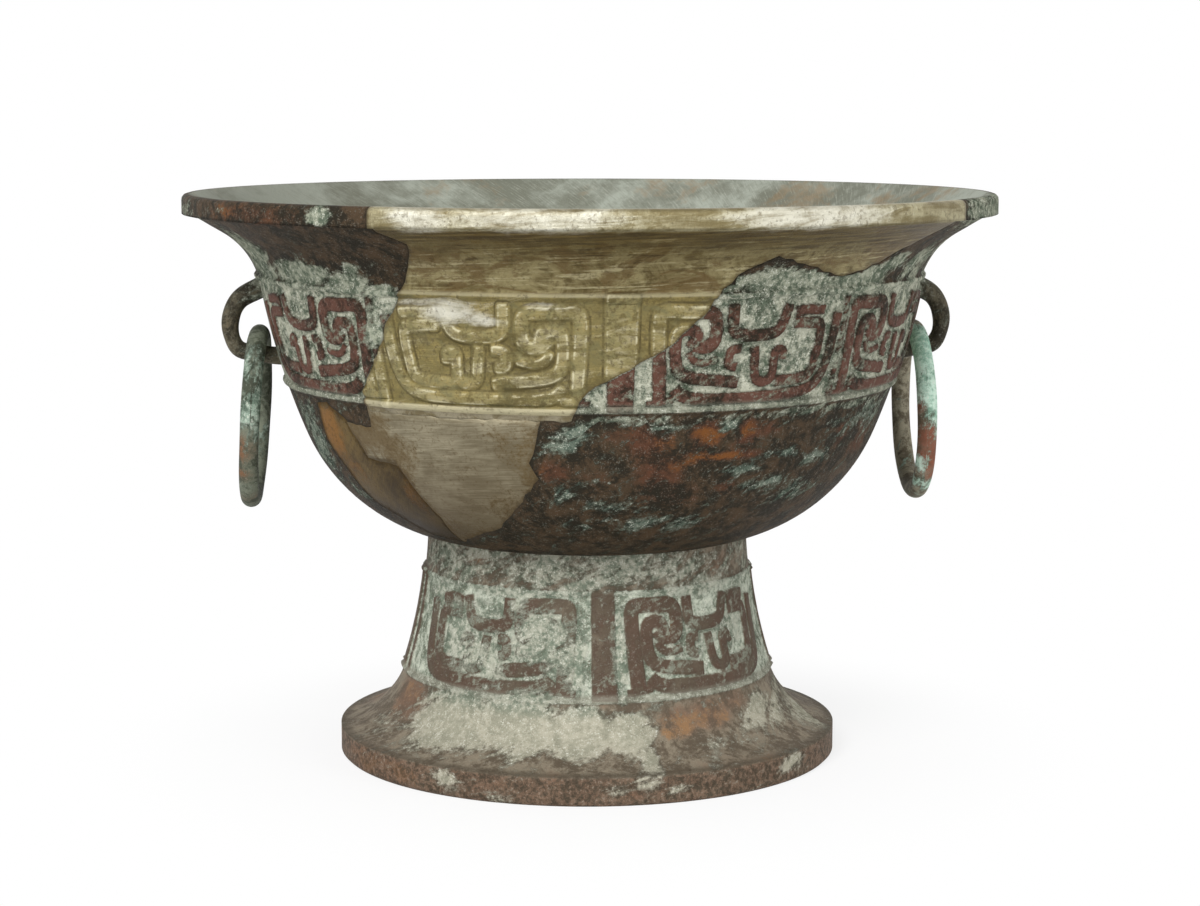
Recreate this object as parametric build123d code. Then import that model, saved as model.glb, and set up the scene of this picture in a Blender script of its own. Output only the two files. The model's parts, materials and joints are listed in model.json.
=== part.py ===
from build123d import *
import math
import os

os.makedirs("parts", exist_ok=True)

# Overall sizes in millimetres; the vessel stands on z = 0 with its lugs on the X axis
rim_radius = 120.0
height = 167.5
base_radius = 74.5
wall = 3.5
lip_height = 6.6
lip_crown = 1.6
lip_draft = 0.7
lip_turn = 1.0
base_edge = 8.5
base_chamfer = 0.8
foot_shift = -0.9
overshoot = 5.0

# Frieze and foot band
relief = 0.8
bead_radius = 1.05
foot_bead_radius = 0.6
bar_width = 6.8

# Lugs and loose rings
ring_radius = 24.3
ring_wire = 5.8
left_lean = 3.4
right_lean = 1.1
ring_twist = -2.5
ring_play = 0.45
wall_play = 0.9
loop_play = 3.2
lug_bar = 4.8

# Levels and radii that follow the overall sizes
bottom_z = 0.386 * height
belly_z = 0.582 * height
neck_z = 0.842 * height
throat_z = 0.934 * height
frieze_low = 0.672 * height
frieze_high = 0.857 * height
band_low = 0.152 * height
band_high = 0.331 * height
foot_root_z = 0.42 * height
flat_radius = 0.3 * rim_radius
belly_radius = 0.705 * rim_radius
neck_radius = 0.8137 * rim_radius
throat_radius = 0.903 * rim_radius
foot_top_radius = 0.64 * base_radius
foot_waist_radius = 0.6727 * base_radius
foot_band_radius = 0.745 * base_radius


def concentric(arc, growth):
    """Arc about the same centre with its radius changed by growth."""
    ratio = (arc.radius + growth) / arc.radius
    marks = [arc.arc_center + (arc @ t - arc.arc_center) * ratio for t in (0, 0.5, 1)]
    return ThreePointArc(*marks)


def outline(*edges):
    """Face inside closed profile edges, drawn as (radius, height)."""
    return make_face(list(edges))


def bead(radius, z, size):
    """Section of a raised cord round the vessel."""
    return Pos(radius, z) * Circle(size)


def spin(face):
    """Solid of revolution about Z."""
    return revolve(Plane.XZ * face, Axis.Z)


# Outer profile of the bowl: belly, side and neck run into each other as tangent arcs
belly = ThreePointArc((flat_radius, bottom_z), (0.585 * rim_radius, 0.464 * height), (belly_radius, belly_z))
side = TangentArc(belly @ 1, (neck_radius, neck_z), tangent=belly % 1)
neck = TangentArc(side @ 1, (throat_radius, throat_z), tangent=side % 1)
flange_run = (rim_radius - lip_draft - throat_radius) / (neck % 1).X
flange_end = neck @ 1 + (neck % 1) * flange_run
lip_low_z = height - lip_height + lip_turn

# Inner profile: the same arcs a wall's thickness in, then a bevel up to the lip
belly_in = concentric(belly, -wall)
side_in = concentric(side, -wall)
neck_in_radius = neck.radius + wall
lip_top = Vector(rim_radius - 2 * lip_crown, height)
to_lip = lip_top - neck.arc_center
bevel_turn = math.atan2(to_lip.Y, to_lip.X) + math.acos(neck_in_radius / to_lip.length)
bevel_foot = neck.arc_center + Vector(math.cos(bevel_turn), math.sin(bevel_turn)) * neck_in_radius
neck_in = TangentArc(side_in @ 1, bevel_foot, tangent=side_in % 1)
floor_z = bottom_z + wall


def wall_at(z):
    """Outer radius of the bowl at a height."""
    if z > (neck @ 1).Y:
        return rim_radius
    arc = belly if z < belly_z else side if z < neck_z else neck
    reach = math.sqrt(arc.radius**2 - (z - arc.arc_center.Y) ** 2)
    return arc.arc_center.X - reach if arc is neck else arc.arc_center.X + reach


full_face = outline(
    Line((0, bottom_z), belly @ 0),
    belly,
    side,
    neck,
    Line(neck @ 1, flange_end),
    Line(flange_end, (rim_radius, lip_low_z)),
    Line((rim_radius, lip_low_z), (rim_radius, height - lip_crown)),
    TangentArc((rim_radius, height - lip_crown), (rim_radius - lip_crown, height), tangent=(0, 1)),
    Line((rim_radius - lip_crown, height), (0, height)),
    Line((0, height), (0, bottom_z)),
)
hollow_face = outline(
    Line((0, floor_z), belly_in @ 0),
    belly_in,
    side_in,
    neck_in,
    Line(neck_in @ 1, lip_top),
    Line(lip_top, (lip_top.X, height + overshoot)),
    Line((lip_top.X, height + overshoot), (0, height + overshoot)),
    Line((0, height + overshoot), (0, floor_z)),
)
frieze_beads = [bead(wall_at(z), z, bead_radius) for z in (frieze_low, frieze_high)]
shell = spin(full_face - hollow_face + frieze_beads)


def raised_band(arc, low, high):
    """Thin ring of metal standing on an arc of the profile between two heights."""
    inner = concentric(arc, -0.5 * wall)
    outer = concentric(arc, relief if arc is side else -relief)
    if arc is not side:
        inner = concentric(arc, 0.5 * wall)
    ring = spin(outline(inner, Line(inner @ 1, outer @ 1), outer, Line(outer @ 0, inner @ 0)))
    return ring & Pos(0, 0, (low + high) / 2) * Box(4 * rim_radius, 4 * rim_radius, high - low)


frieze_ring = raised_band(side, frieze_low, min(frieze_high, neck_z))
bar = Pos(0, -rim_radius / 2, height / 2) * Box(bar_width, rim_radius, height)
bars = [Rot(0, 0, turn) * bar for turn in (0, 90, 180, 270)]

shell += [frieze_ring & bars[0], frieze_ring & bars[2]]


# Breaks in the old bronze, as (degrees from the front, share of the height) round each gap
rim_break = [
    (-34, 1.2), (-34, 0.96), (-31, 0.94), (-33.5, 0.9), (-38, 0.83), (-42.5, 0.755), (-48, 0.69),
    (-48, 0.655), (-8.5, 0.655), (-7, 0.69), (-4.5, 0.712), (3.5, 0.755), (7, 0.775), (13, 0.83),
    (17.5, 0.89), (23, 0.92), (30, 0.9), (38, 0.88), (43, 0.888), (51, 0.925), (54, 0.96), (54, 1.2),
]
plate_break = [
    (-56, 0.63), (-49, 0.627), (-48, 0.68), (-13, 0.68), (-15, 0.615), (-16.5, 0.583), (-15, 0.555),
    (-20, 0.505), (-26, 0.46), (-39, 0.428), (-43, 0.418), (-41, 0.47), (-45, 0.562), (-53, 0.57),
]
strip_break = [
    (-65, 0.655), (-61, 0.66), (-50, 0.6), (-30, 0.55), (-35, 0.45), (-43, 0.416),
    (-53, 0.425), (-57, 0.46), (-62, 0.482), (-63.5, 0.536), (-67, 0.59),
]
apex = Vector(0, 0, 0.84 * height)


def break_block(points, heart):
    """Solid fan from the axis outward through a break outline; heart lies inside the outline."""
    def ray(degrees, share):
        turn = math.radians(degrees)
        radius = wall_at(share * height)
        mark = Vector(radius * math.sin(turn), -radius * math.cos(turn), share * height)
        return apex + (mark - apex) * 1.6
    rays = [ray(*point) for point in points]
    pairs = list(zip(rays, rays[1:] + rays[:1]))
    peaks = (apex, ray(*heart))
    faces = [Face(Wire.make_polygon([peak, a, b])) for peak in peaks for a, b in pairs]
    return Solid(Shell(faces))


rim_block = break_block(rim_break, (5, 0.985))
plate_block = break_block(plate_break, (-30, 0.58))
strip_block = break_block(strip_break, (-52, 0.54))

rim_infill = shell & rim_block
below_rim = shell - rim_block
lower_infill_plate = below_rim & plate_block
beside_plate = below_rim - plate_block
lower_infill_strip = beside_plate & strip_block
bowl = beside_plate - strip_block

# Ring pivots: each ring hangs in its lug, close to the wall
pivot_z = 0.752 * height
pivot_r = wall_at(pivot_z) + wall_play + ring_wire / 2
sole = ring_wire / 2 + ring_play + lug_bar / 2
reach = ring_wire / 2 + loop_play + lug_bar / 2
root_low = Vector(wall_at(pivot_z - sole) - 0.6 * wall, 0, pivot_z - 1.15 * sole)
root_high = Vector(wall_at(pivot_z + 2.6 * sole) - 0.6 * wall, 0, pivot_z + 2.6 * sole)
lug_path = Spline(
    root_low,
    (pivot_r, 0, pivot_z - sole),
    (pivot_r + 0.75 * reach, 0, pivot_z - 0.7 * sole),
    (pivot_r + reach, 0, pivot_z + 0.5 * sole),
    (pivot_r + 0.68 * reach, 0, pivot_z + 1.75 * sole),
    root_high,
    tangents=((1, 0, 0), (-1, 0, 0.7)),
)


def lug_section(t, growth):
    """Oval section across the lug's path."""
    plane = Plane(lug_path @ t, x_dir=(0, 1, 0), z_dir=lug_path % t)
    return plane * Ellipse(0.62 * lug_bar * growth, 0.5 * lug_bar * growth)


lug_sections = [lug_section(0, 1.1), lug_section(0.5, 1), lug_section(1, 1.35)]
right_lug = sweep(lug_sections, lug_path, multisection=True)
left_lug = Rot(0, 0, 180) * right_lug
bowl = bowl - right_lug - left_lug


def hanging_ring(lean):
    """Ring in the right lug, twisted a little about the upright and swung outward by the lean in degrees."""
    place = Pos(pivot_r, 0, pivot_z) * Rot(0, 0, ring_twist) * Rot(0, -lean, 0) * Pos(0, 0, -ring_radius)
    return place * Rot(0, 90, 0) * Torus(ring_radius, ring_wire / 2)


right_ring = hanging_ring(right_lean)
left_ring = Rot(0, 0, 180) * hanging_ring(left_lean)

# Foot: waisted band, flare and upright edge, hollow underneath
foot_side = ThreePointArc(
    (foot_band_radius, 0.146 * height),
    (foot_waist_radius, 0.272 * height),
    (foot_top_radius, foot_root_z),
)
flare = TangentArc(foot_side @ 0, (base_radius, base_edge), tangent=-(foot_side % 0))
edge_in = base_radius - 1.6 * wall
foot_face = outline(
    Line((0, 0), (base_radius - base_chamfer, 0)),
    Line((base_radius - base_chamfer, 0), (base_radius, base_chamfer)),
    Line((base_radius, base_chamfer), (base_radius, base_edge)),
    flare,
    foot_side,
    Line((foot_top_radius, foot_root_z), (0, foot_root_z)),
    Line((0, foot_root_z), (0, 0)),
)
foot_side_in = concentric(foot_side, wall)
flare_in = concentric(flare, wall)
foot_hollow = outline(
    Line((0, -overshoot), (edge_in, -overshoot)),
    Line((edge_in, -overshoot), (edge_in, 0.4 * base_edge)),
    ThreePointArc((edge_in, 0.4 * base_edge), flare_in @ 0.45, foot_side_in @ 0),
    foot_side_in,
    Line(foot_side_in @ 1, ((foot_side_in @ 1).X, foot_root_z + overshoot)),
    Line(((foot_side_in @ 1).X, foot_root_z + overshoot), (0, foot_root_z + overshoot)),
    Line((0, foot_root_z + overshoot), (0, -overshoot)),
)


def foot_at(z):
    """Outer radius of the foot's band at a height."""
    return foot_side.arc_center.X - math.sqrt(foot_side.radius**2 - (z - foot_side.arc_center.Y) ** 2)


foot_ring = raised_band(foot_side, band_low, band_high)
band_beads = [bead(foot_at(z), z, foot_bead_radius) for z in (band_low, band_high)]
foot = spin(foot_face - foot_hollow + band_beads)
foot += [foot_ring & each for each in bars]
foot = Pos(foot_shift, 0, 0) * foot - spin(full_face)

nodes = {
    "bowl": bowl,
    "rim_infill": rim_infill,
    "lower_infill_plate": lower_infill_plate,
    "lower_infill_strip": lower_infill_strip,
    "foot": foot,
    "left_lug": left_lug,
    "right_lug": right_lug,
    "left_ring": left_ring,
    "right_ring": right_ring,
}
for name, solid in nodes.items():
    export_step(solid, f"parts/{name}.step")
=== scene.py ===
import cmath
import json
import math

import bpy
import numpy as np
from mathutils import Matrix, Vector


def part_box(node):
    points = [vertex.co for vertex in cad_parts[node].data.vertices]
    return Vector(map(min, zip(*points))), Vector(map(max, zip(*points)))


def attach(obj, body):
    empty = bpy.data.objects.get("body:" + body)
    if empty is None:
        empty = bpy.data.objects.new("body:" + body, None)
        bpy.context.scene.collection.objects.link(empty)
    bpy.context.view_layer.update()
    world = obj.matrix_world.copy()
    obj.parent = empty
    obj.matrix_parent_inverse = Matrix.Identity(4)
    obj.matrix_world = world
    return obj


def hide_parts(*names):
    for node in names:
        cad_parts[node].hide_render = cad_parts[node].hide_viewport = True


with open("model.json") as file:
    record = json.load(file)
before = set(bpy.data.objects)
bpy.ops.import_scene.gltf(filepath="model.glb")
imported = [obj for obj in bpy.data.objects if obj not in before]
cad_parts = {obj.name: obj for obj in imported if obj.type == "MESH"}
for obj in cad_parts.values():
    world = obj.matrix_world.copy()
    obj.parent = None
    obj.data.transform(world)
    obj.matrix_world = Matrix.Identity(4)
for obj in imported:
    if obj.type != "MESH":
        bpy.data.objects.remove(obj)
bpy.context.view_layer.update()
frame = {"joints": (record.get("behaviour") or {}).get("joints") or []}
MM = 0.001

# Overall sizes come from the frame; a profile point is radius + height * 1j
bowl_low, bowl_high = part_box("bowl")
foot_low, foot_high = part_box("foot")
rim_radius = min(bowl_high[0], bowl_high[1], -bowl_low[0])
height = bowl_high[2]
base_radius = (foot_high[0] - foot_low[0]) / 2
foot_shift = (foot_high[0] + foot_low[0]) / 2

wall = 3.5 * MM
lip_height = 6.6 * MM
lip_crown = 1.6 * MM
lip_draft = 0.7 * MM
lip_turn = 1.0 * MM
base_edge = 8.5 * MM
base_chamfer = 0.8 * MM
relief_height = 0.95 * MM
bead_radius = 1.05 * MM
foot_bead_radius = 0.6 * MM
crust_height = 0.45 * MM
frieze_low = 0.672 * height
frieze_high = 0.857 * height
band_low = 0.152 * height
band_high = 0.331 * height

# Points round a row in the carved bands, on other outsides and on insides, and the step of the bands' rows
FINE = 1024
MID = 512
COARSE = 256
fine_step = 0.55 * MM


def tangent_arc(start, heading, end, steps=80):
    """Points and headings of the arc that leaves start along heading and ends at end, and its centre."""
    chord = end - start
    sweep = 2 * cmath.phase(chord / heading)
    side = heading * 1j
    centre = start + side * abs(chord) ** 2 / (2 * (chord * side.conjugate()).real)
    turn = np.exp(1j * sweep * np.linspace(0, 1, steps + 1))
    return centre + (start - centre) * turn, heading * turn, centre


def first_heading(start, middle, end):
    """Direction in which the circle through three points leaves the first."""
    heading = (middle - start) * (end - start) / (end - middle)
    return heading / abs(heading)


def spaced(line, step):
    """The same line with points about a step apart."""
    run = np.concatenate([[0], np.cumsum(np.abs(np.diff(line)))])
    marks = np.linspace(0, run[-1], max(2, round(run[-1] / step) + 1))
    return np.interp(marks, run, line.real) + 1j * np.interp(marks, run, line.imag)


def between(line, low, high):
    """Stretch of a rising line between two heights."""
    inside = line[(line.imag > low) & (line.imag < high)]
    ends = [np.interp(z, line.imag, line.real) + 1j * z for z in (low, high)]
    return np.concatenate([ends[:1], inside, ends[1:]])


def with_beads(line, levels, size):
    """Line with a half-round cord raised on it at each level."""
    for level in levels:
        lift = np.sqrt(np.maximum(0, size**2 - (line.imag - level) ** 2))
        line = line + lift
    return line


# Bowl profile: belly, side and neck are tangent arcs, and the inside follows a wall's thickness in
belly_start = 0.3 * rim_radius + 0.386j * height
belly_middle = 0.585 * rim_radius + 0.464j * height
belly_end = 0.705 * rim_radius + 0.582j * height
belly_rise = first_heading(belly_start, belly_middle, belly_end)
side_end = 0.8137 * rim_radius + 0.842j * height
neck_end = 0.903 * rim_radius + 0.934j * height
belly, belly_heading, _ = tangent_arc(belly_start, belly_rise, belly_end)
side, side_heading, _ = tangent_arc(belly_end, belly_heading[-1], side_end)
neck, neck_heading, neck_centre = tangent_arc(side_end, side_heading[-1], neck_end)
flange_run = (rim_radius - lip_draft - neck[-1].real) / neck_heading[-1].real
flange_end = neck[-1] + neck_heading[-1] * flange_run
bowl_wall = np.concatenate([belly, side[1:], neck[1:], [flange_end]])

crown_centre = rim_radius - lip_crown + 1j * (height - lip_crown)
crown = crown_centre + lip_crown * np.exp(0.5j * np.pi * np.linspace(0, 1, 7))
lip = np.concatenate([[rim_radius + 1j * (height - lip_height + lip_turn)], crown])
lip_top = rim_radius - 2 * lip_crown + 1j * height
neck_in_radius = abs(neck[0] - neck_centre) + wall
to_lip = lip_top - neck_centre
bevel_turn = cmath.phase(to_lip) + math.acos(neck_in_radius / abs(to_lip))
neck_turns = np.linspace(bevel_turn, cmath.phase(neck[0] - neck_centre), 20)
inside = np.concatenate([
    [lip_top],
    neck_centre + neck_in_radius * np.exp(1j * neck_turns),
    (side + 1j * side_heading * wall)[::-1],
    (belly + 1j * belly_heading * wall)[::-1],
])

# Foot profile: waisted band, flare and upright edge
foot_start = 0.745 * base_radius + 0.146j * height
foot_waist = 0.6727 * base_radius + 0.272j * height
foot_root = 0.64 * base_radius + 0.42j * height
foot_side, foot_side_heading, _ = tangent_arc(
    foot_start, first_heading(foot_start, foot_waist, foot_root), foot_root)
flare, flare_heading, _ = tangent_arc(foot_start, -foot_side_heading[0], base_radius + 1j * base_edge)
foot_wall = np.concatenate([flare[::-1], foot_side[1:]])
seat_z = 0.403 * height


def store(mesh, name, values):
    """Point attribute from an array of numbers or of vectors."""
    kind, field = ("FLOAT", "value") if values.ndim == 1 else ("FLOAT_VECTOR", "vector")
    layer = mesh.attributes.new(name, kind, "POINT")
    layer.data.foreach_set(field, values.astype(np.float32).ravel())


def places(mesh):
    """Coordinates of a mesh's points as an array."""
    flat = np.empty(len(mesh.vertices) * 3, dtype=np.float32)
    mesh.vertices.foreach_get("co", flat)
    return flat.reshape(-1, 3)


def turn_of(points):
    """Degrees round the vessel from its front, growing towards +X."""
    return np.degrees(np.arctan2(points[:, 0], -points[:, 1]))


def link(name, data):
    obj = bpy.data.objects.new(name, data)
    bpy.context.scene.collection.objects.link(obj)
    return obj


def plain_mesh(obj):
    """The evaluated object as a plain mesh, with its modifiers used up."""
    graph = bpy.context.evaluated_depsgraph_get()
    mesh = bpy.data.meshes.new_from_object(obj.evaluated_get(graph))
    obj.modifiers.clear()
    obj.data = mesh
    return obj


def lathe(name, parts, loop=False):
    """Surface turned about Z from (profile rows, points round) parts; a loop closes on its first row.

    Angle 0 faces -Y. One row has a whole multiple of the next row's points, or the other way round."""
    rows = np.concatenate([part for part, _ in parts])
    columns = [count for part, count in parts for _ in part]
    ahead = np.roll(rows, -1) - np.roll(rows, 1)
    if not loop:
        ahead[0] = rows[1] - rows[0]
        ahead[-1] = rows[-1] - rows[-2]
    normals = -1j * ahead / np.abs(ahead)
    up = np.array([0, 0, 1])
    points, outward = [], []
    for row, normal, count in zip(rows, normals, columns):
        turn = np.arange(count) * 2 * np.pi / count - np.pi
        ring = np.stack([np.sin(turn), -np.cos(turn), np.zeros(count)], axis=1)
        points.append(ring * row.real + up * row.imag)
        outward.append(ring * normal.real + up * normal.imag)
    starts = np.cumsum([0] + columns).tolist()
    faces = []
    for k in range(len(rows) if loop else len(rows) - 1):
        after = (k + 1) % len(rows)
        low, high = starts[k], starts[after]
        low_count, high_count = columns[k], columns[after]
        steps = max(low_count, high_count)
        for i in range(steps):
            # Where the rows differ in count, a corner comes up twice, and dropping it leaves a triangle
            corners = (low + i * low_count // steps, low + (i + 1) * low_count // steps % low_count,
                       high + (i + 1) * high_count // steps % high_count, high + i * high_count // steps)
            faces.append(tuple(dict.fromkeys(corners)))
    mesh = bpy.data.meshes.new(name)
    mesh.from_pydata(np.concatenate(points).tolist(), [], faces)
    store(mesh, "outward", np.concatenate(outward))
    return mesh


def bowl_mesh(name):
    floor = belly_start.real + 1j * (belly_start.imag + wall)
    fine_low = frieze_low - 2.5 * MM
    fine_high = frieze_high + 2.5 * MM
    frieze = spaced(between(bowl_wall, fine_low, fine_high), fine_step)[1:]
    return lathe(name, [
        ([1j * belly_start.imag], 1),
        (np.linspace(0.3, 0.9, 3) * belly_start.real + 1j * belly_start.imag, COARSE),
        (spaced(between(bowl_wall, belly_start.imag + 1e-6, fine_low), 2.4 * MM), MID),
        (with_beads(frieze, (frieze_low, frieze_high), bead_radius), FINE),
        (spaced(between(bowl_wall, fine_high, flange_end.imag), 1.5 * MM)[1:], MID),
        (spaced(lip, 0.9 * MM), MID),
        (spaced(inside, 4 * MM), COARSE),
        (np.linspace(0.9, 0.3, 3) * floor.real + 1j * floor.imag, COARSE),
        ([1j * floor.imag], 1),
    ])


def foot_mesh(name):
    edge_in = base_radius - 1.6 * wall
    inner = (foot_side + 1j * foot_side_heading * wall)[::-1]
    inner_flare = flare - 1j * flare_heading * wall
    knee = inner_flare[4 * len(flare) // 9]
    fine_low = band_low - 2 * MM
    fine_high = band_high + 2 * MM
    band = spaced(between(foot_wall, fine_low, fine_high), fine_step)[1:]
    top = between(foot_wall, fine_high, seat_z)
    hollow = np.concatenate([
        between(inner[::-1], inner[-1].imag + 1e-6, seat_z)[::-1],
        [knee, edge_in + 0.4j * base_edge, edge_in + 0j],
    ])
    return lathe(name, [
        (np.linspace(edge_in + 1 * MM, base_radius - base_chamfer, 4) + 0j, COARSE),
        (np.linspace(base_radius + 1j * base_chamfer, base_radius + 1j * base_edge, 7)[:-1], MID),
        (spaced(between(foot_wall, base_edge, fine_low), 1.2 * MM), MID),
        (with_beads(band, (band_low, band_high), foot_bead_radius), FINE),
        (spaced(top, 1.2 * MM)[1:], MID),
        (spaced(hollow, 2.5 * MM), COARSE),
    ], loop=True)


class Wire:
    """A node's output that stands in Python expressions; each operator adds a Math node."""

    def __init__(self, graph, socket):
        self.graph = graph
        self.socket = socket

    def __getitem__(self, name):
        return Wire(self.graph, self.socket.node.outputs[name])

    def __add__(self, other):
        return self.graph.math("ADD", self, other)

    def __sub__(self, other):
        return self.graph.math("SUBTRACT", self, other)

    def __rsub__(self, other):
        return self.graph.math("SUBTRACT", other, self)

    def __mul__(self, other):
        return self.graph.math("MULTIPLY", self, other)

    __radd__ = __add__
    __rmul__ = __mul__


class Graph:
    """A node tree written as expressions."""

    def __init__(self, tree):
        self.tree = tree
        self.tree.nodes.clear()

    def add(self, kind, settings=None, sockets=None):
        """One node: its settings first, then its sockets by name or number, as values or wires."""
        node = self.tree.nodes.new(kind)
        for name, value in (settings or {}).items():
            setattr(node, name, value)
        for key, value in (sockets or {}).items():
            if isinstance(value, Wire):
                self.tree.links.new(value.socket, node.inputs[key])
            else:
                node.inputs[key].default_value = value
        return Wire(self, node.outputs[0]) if node.outputs else node

    def math(self, operation, first, second):
        return self.add("ShaderNodeMath", {"operation": operation}, {0: first, 1: second})

    def ramp(self, value, low, high, start, end):
        """Smooth step of a value from start at low to end at high."""
        sockets = {0: value, 1: low, 2: high, 3: start, 4: end}
        return self.add("ShaderNodeMapRange", {"interpolation_type": "SMOOTHSTEP"}, sockets)

    def rise(self, value, low, high, share=1.0):
        """Smooth step of a value from 0 at low up to a share at high."""
        return self.ramp(value, low, high, 0.0, share)

    def fall(self, value, low, high, share=1.0):
        """Smooth step of a value from a share at low down to 0 at high."""
        return self.ramp(value, low, high, share, 0.0)

    def hill(self, value, low, full, last, high):
        """Smooth hill of a value: 0 up to low, 1 from full to last and 0 again from high on."""
        return self.rise(value, low, full) * self.fall(value, last, high)

    def noise(self, place, scale, detail=4.0, rough=0.55, bend=0.0):
        """Noise that swings about 0."""
        sockets = {"Vector": place, "Scale": scale, "Detail": detail, "Roughness": rough, "Distortion": bend}
        return self.add("ShaderNodeTexNoise", None, sockets) - 0.5

    def scaled(self, vector, amount):
        return self.add("ShaderNodeVectorMath", {"operation": "SCALE"}, {0: vector, "Scale": amount})

    def blend(self, mask, first, second):
        """Colour that goes from first to second as the mask goes from 0 to 1."""
        mix = self.add("ShaderNodeMix", {"data_type": "RGBA"}, {0: mask, 6: first, 7: second})
        return Wire(self, mix.socket.node.outputs[2])

    def glaze(self, colour, *layers):
        """The colour under layers that are laid on in turn, each as a mask and a colour."""
        for mask, over in layers:
            colour = self.blend(mask, colour, over)
        return colour


# Strokes of one frieze panel as half width in mm and points in percent of the panel, from its inner edge up
stroke_widths_and_points = [
    (1.95, [(13.9, 7), (13.3, 34), (12.4, 60), (12.1, 84), (14.3, 88), (24, 86.5), (31.5, 87), (33.4, 78),
            (33.2, 62), (31, 55.5), (26, 56.5), (24, 63)]),
    (1.65, [(26.8, 61), (26.5, 70.3), (22, 71.5), (18.9, 70), (18.4, 56), (19, 41), (20.7, 33), (25, 28.8),
            (33, 26.5), (44, 23.5)]),
    (0.85, [(23.6, 50.5), (25, 44), (30, 41), (34.5, 44.5)]),
    (1.7, [(19.4, 19), (21.5, 12.5), (30, 9.5), (46, 9.3), (63, 9.8), (75, 11.5), (81.5, 19), (84.3, 37),
           (85.2, 56), (85.8, 80)]),
    (1.2, [(43.5, 53.5), (39.5, 54), (39.3, 46), (39, 38.5), (42.5, 37.5)]),
    (1.3, [(49.4, 54), (50, 40), (51, 25), (55, 22), (58.6, 25.5), (58.2, 42), (57.9, 51), (62.3, 51),
           (62, 43)]),
    (1.6, [(39.3, 92), (39.4, 79), (40, 68), (44.5, 65), (50, 64.5), (57, 65.5), (60, 72), (61.7, 90)]),
    (1.3, [(65.3, 84.3), (71, 86.2), (78.5, 83.8)]),
    (1.55, [(65.2, 74), (75, 73.5), (78, 71), (78.3, 58), (77.6, 42), (77, 29), (74, 24.5), (66, 23),
            (60.5, 22.5)]),
    (0.8, [(9.5, 6.5), (14, 7.5), (19, 9.8)]),
]


def stroke_curve(name, strokes):
    """Flat curves, each with its half width as radius; points are in metres on the unrolled wall."""
    data = bpy.data.curves.new(name, "CURVE")
    data.dimensions = "3D"
    data.twist_mode = "Z_UP"
    data.resolution_u = 6
    for half, points in strokes:
        spline = data.splines.new("NURBS")
        spline.points.add(len(points) - 1)
        for mark, (x, y) in zip(spline.points, points):
            mark.co = (x, y, 0, 1)
            mark.radius = half
        spline.order_u = 3
        spline.use_endpoint_u = True
    return link(name, data)


def carving_tree():
    """Raises flat strokes, repeated on placing points, out of a wall that knows its unrolled place."""
    tree = bpy.data.node_groups.new("raised_strokes", "GeometryNodeTree")
    kinds = {"Wall": "Geometry", "Strokes": "Object", "Places": "Object", "Bars": "Object",
             "Height": "Float", "Edge": "Float", "Crust": "Float", "Finish": "Material"}
    ids = {}
    for name, kind in kinds.items():
        socket = tree.interface.new_socket(name, in_out="INPUT", socket_type="NodeSocket" + kind)
        ids[name] = socket.identifier
    tree.interface.new_socket("Wall", in_out="OUTPUT", socket_type="NodeSocketGeometry")
    graph = Graph(tree)
    given = graph.add("NodeGroupInput")

    def ribbons(name):
        drawn = graph.add("GeometryNodeObjectInfo", None, {"Object": given[name]})["Geometry"]
        across = graph.add("GeometryNodeCurvePrimitiveLine", None, {"Start": (-1, 0, 0), "End": (1, 0, 0)})
        width = graph.add("GeometryNodeInputRadius")
        return graph.add("GeometryNodeCurveToMesh", None,
                         {"Curve": drawn, "Profile Curve": across, "Scale": width})

    def attribute(name, kind):
        return graph.add("GeometryNodeInputNamedAttribute", {"data_type": kind}, {"Name": name})

    spots = graph.add("GeometryNodeObjectInfo", None, {"Object": given["Places"]})["Geometry"]
    flip = graph.add("ShaderNodeCombineXYZ", None, {0: attribute("flip", "FLOAT"), 1: 1.0, 2: 1.0})
    copies = graph.add("GeometryNodeInstanceOnPoints", None,
                       {"Points": spots, "Instance": ribbons("Strokes"), "Scale": flip})
    flat = graph.add("GeometryNodeJoinGeometry")
    flat_node = flat.socket.node
    for part in (graph.add("GeometryNodeRealizeInstances", None, {0: copies}), ribbons("Bars")):
        tree.links.new(part.socket, flat_node.inputs[0])
    near = graph.add("GeometryNodeProximity", {"target_element": "FACES"},
                     {0: flat, "Sample Position": attribute("flat", "FLOAT_VECTOR")})["Distance"]
    raised = graph.fall(near, 0.0, given["Edge"])
    place = graph.add("GeometryNodeInputPosition")
    lumps = graph.noise(place, 240.0, 4.0, 0.6)
    lift = raised * given["Height"] + lumps * attribute("crust", "FLOAT") * given["Crust"]
    offset = graph.scaled(attribute("outward", "FLOAT_VECTOR"), lift)
    moved = graph.add("GeometryNodeSetPosition", None, {"Geometry": given["Wall"], "Offset": offset})
    kept = graph.add("GeometryNodeStoreNamedAttribute", {"data_type": "FLOAT", "domain": "POINT"},
                     {"Geometry": moved, "Name": "raised", "Value": raised})
    whole = graph.add("GeometryNodeRealizeInstances", None, {0: kept})
    dressed = graph.add("GeometryNodeSetMaterial", None, {"Geometry": whole, "Material": given["Finish"]})
    graph.add("NodeGroupOutput", None, {0: dressed})
    return tree, ids


def placing_points(name, spots):
    """Loose points on the unrolled wall, each with a flip of 1 or -1 for the copy that it carries."""
    mesh = bpy.data.meshes.new(name)
    mesh.from_pydata([(place, 0, 0) for place, _ in spots], [], [])
    store(mesh, "flip", np.array([flip for _, flip in spots], dtype=float))
    return link(name, mesh)


# How fast a mark fades
mark_fade = 0.7


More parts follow.
